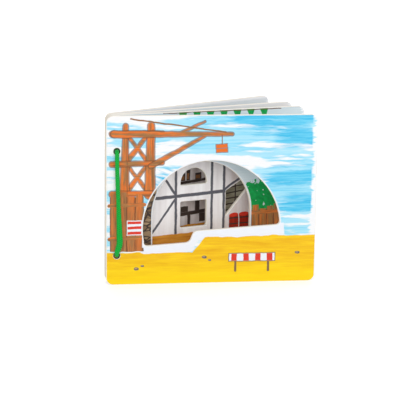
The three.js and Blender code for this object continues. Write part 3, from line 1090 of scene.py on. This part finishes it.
def finish_cord(shape, name):
    """A cord piece from its tubes, with a map that runs round and along the cord."""
    bmesh.ops.recalc_face_normals(shape, faces=shape.faces)
    along = shape.verts.layers.float["along"]
    turn = shape.verts.layers.int["turn"]
    cord_map = shape.loops.layers.uv.new("cord map")
    for face in shape.faces:
        face.smooth = True
        turns = [loop.vert[turn] for loop in face.loops]
        wraps = max(turns) - min(turns) > CORD_SIDES / 2
        for loop, number in zip(face.loops, turns):
            number += CORD_SIDES if wraps and number < CORD_SIDES / 2 else 0
            loop[cord_map].uv = (number / CORD_SIDES, loop.vert[along] / CORD_WIDTH)
    piece = add_piece(name, shape, CORD_GREEN)
    return piece


def cord_material():
    material, build, shader = new_material("cord green")
    place = build.node("ShaderNodeUVMap", uv_map="cord map").outputs[0]
    braid = build.group(BRAID, Point=place)
    coordinates = build.node("ShaderNodeTexCoord").outputs["Object"]
    fuzz = build.noise(coordinates, FUZZ_PER_METRE, 4.0)
    height = build.math("MULTIPLY_ADD", fuzz, 0.35, braid)
    # Painted shade and highlight: darker in the braid's grooves and lighter on its crests, varied at random
    # by the fuzz.
    shade = build.span(height, 0.7, 1.3)
    colour = build.mix(shade, CORD_SHADED_GREEN, CORD_LIT_GREEN)
    build.dress(shader, colour, fuzz, CORD_ROUGHNESS, height, strength=0.6, distance=0.3 * MM)
    shader.inputs["Specular IOR Level"].default_value = 0.25
    shader.inputs["Sheen Weight"].default_value = 0.12
    shader.inputs["Sheen Roughness"].default_value = 0.5
    return material


CORD_GREEN = cord_material()

# The flattened run on the cover, and the knot and tails on the back cover
FLAT_WIDER = 0.45
FLAT_LOWER = 0.22
KNOT_LOOP = 1.15 * MM
KNOT_LIFT = 1.2 * MM
KNOT_WIDTH = 3.2 * MM
KNOT_CLEAR = 0.8 * MM
KNOT_NARROWING = 0.8
KNOT_STEPS = 48
KNOT_ASIDE = 4 * MM
CORD_TAIL = 20 * MM
CORD_TAIL_SWAY = 7 * MM


def along_board(index, x=1, depth=0, height=0):
    """A direction given in a board's own frame."""
    return PLACES[index].to_3x3() @ Vector((x, depth, height))


def ramp(value, start, end):
    """0 before the start, 1 past the end and even in between."""
    return max(0.0, min(1.0, (value - start) / (end - start)))


def round_section(width):
    return lambda share: (width, width)


def front_section(share):
    """Round where it leaves the upper hole, wide and flat above the lower one."""
    flat = ramp(share, 0.5, 0.8) * ramp(share, 0.97, 0.89)
    return CORD_WIDTH * (1 + FLAT_WIDER * flat), CORD_WIDTH * (1 - FLAT_LOWER * flat)


def make_front_cord():
    """The run on the cover, which drifts a little towards the fore edge on its way down."""
    top = CORD_HOLE_HIGH - 2 * CORD_HOLE_RADIUS
    bottom = CORD_HOLE_LOW + 2 * CORD_HOLE_RADIUS
    run = [
        on_board(0, CORD_HOLE_FROM_SPINE + drift * CORD_DRIFT, -CORD_OFFSET, top + (bottom - top) * share)
        for share, drift in ((0.1, 0.05), (0.35, 0.33), (0.6, 0.65), (0.85, 0.95), (0.94, 0.94))]
    middle = BOARD_THICKNESS / 2
    points = [
        in_hole(0, middle, CORD_HOLE_HIGH, -1), *bend_points(0, CORD_HOLE_HIGH, -1, -1), *run,
        *reversed(bend_points(0, CORD_HOLE_LOW, -1, 1)), in_hole(0, middle, CORD_HOLE_LOW, 1)]
    shape = bmesh.new()
    lay_tube(shape, smooth_line(points), along_board(0), front_section)
    piece = finish_cord(shape, "cord_front")
    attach(piece, "front_cover")
    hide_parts("binding_cord")


def make_cord_span(index):
    """The two stretches of cord between one board and the next, from the middle of hole to hole."""
    shape = bmesh.new()
    for hole, way in HOLES:
        points = [
            in_hole(index + step, share * BOARD_THICKNESS, hole, way)
            for step, share in ((0, 0.5), (0, 0.9), (1, 0.1), (1, 0.5))]
        lay_tube(shape, smooth_line(points), Vector((0, 0, 1)), round_section(CORD_WIDTH))
    piece = finish_cord(shape, f"cord_span_{index + 1}")
    height = BOARD_HEIGHT / 2
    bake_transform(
        piece, BOARD_NODES[index], BOARD_NODES[index + 1],
        start=on_board(index, CORD_HOLE_FROM_SPINE, BOARD_THICKNESS, height),
        end=on_board(index + 1, CORD_HOLE_FROM_SPINE, 0, height))


def make_back_cord():
    """The run on the back cover, tied in its middle, with a short tail beside each half."""
    shape = bmesh.new()
    depth = BOARD_THICKNESS + CORD_OFFSET
    tie = BOARD_HEIGHT / 2
    tie_from_spine = CORD_HOLE_FROM_SPINE + KNOT_ASIDE
    section = round_section(CORD_WIDTH)
    for hole, way in HOLES:
        run = [
            in_hole(LAST, BOARD_THICKNESS / 2, hole, way), *bend_points(LAST, hole, 1, way),
            on_board(LAST, CORD_HOLE_FROM_SPINE + KNOT_ASIDE / 2, depth, (tie + hole) / 2),
            on_board(LAST, tie_from_spine, depth, tie)]
        lay_tube(shape, smooth_line(run), along_board(LAST), section)
        tail = [
            on_board(LAST, tie_from_spine + sway * CORD_TAIL_SWAY, depth, tie - way * reach * CORD_TAIL)
            for sway, reach in ((0, 0), (0.6, 0.4), (1, 1))]
        lay_tube(shape, smooth_line(tail), along_board(LAST), section, capped=True)
    knot_depth = BOARD_THICKNESS + KNOT_WIDTH / 2 + KNOT_LIFT + KNOT_CLEAR
    knot = []
    for step in range(KNOT_STEPS + 1):
        angle = step / KNOT_STEPS * 2 * math.pi
        x = KNOT_LOOP * (math.sin(angle) + 2 * math.sin(2 * angle)) * KNOT_NARROWING
        z = KNOT_LOOP * (math.cos(angle) - 2 * math.cos(2 * angle))
        out = -KNOT_LIFT * math.sin(3 * angle)
        knot.append(on_board(LAST, tie_from_spine + x, knot_depth + out, tie + z))
    lay_tube(shape, knot, along_board(LAST, 1, 0.4, 0.3), round_section(KNOT_WIDTH))
    piece = finish_cord(shape, "cord_back")
    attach(piece, "back_cover")


make_front_cord()
for gap in range(LAST):
    make_cord_span(gap)
make_back_cord()
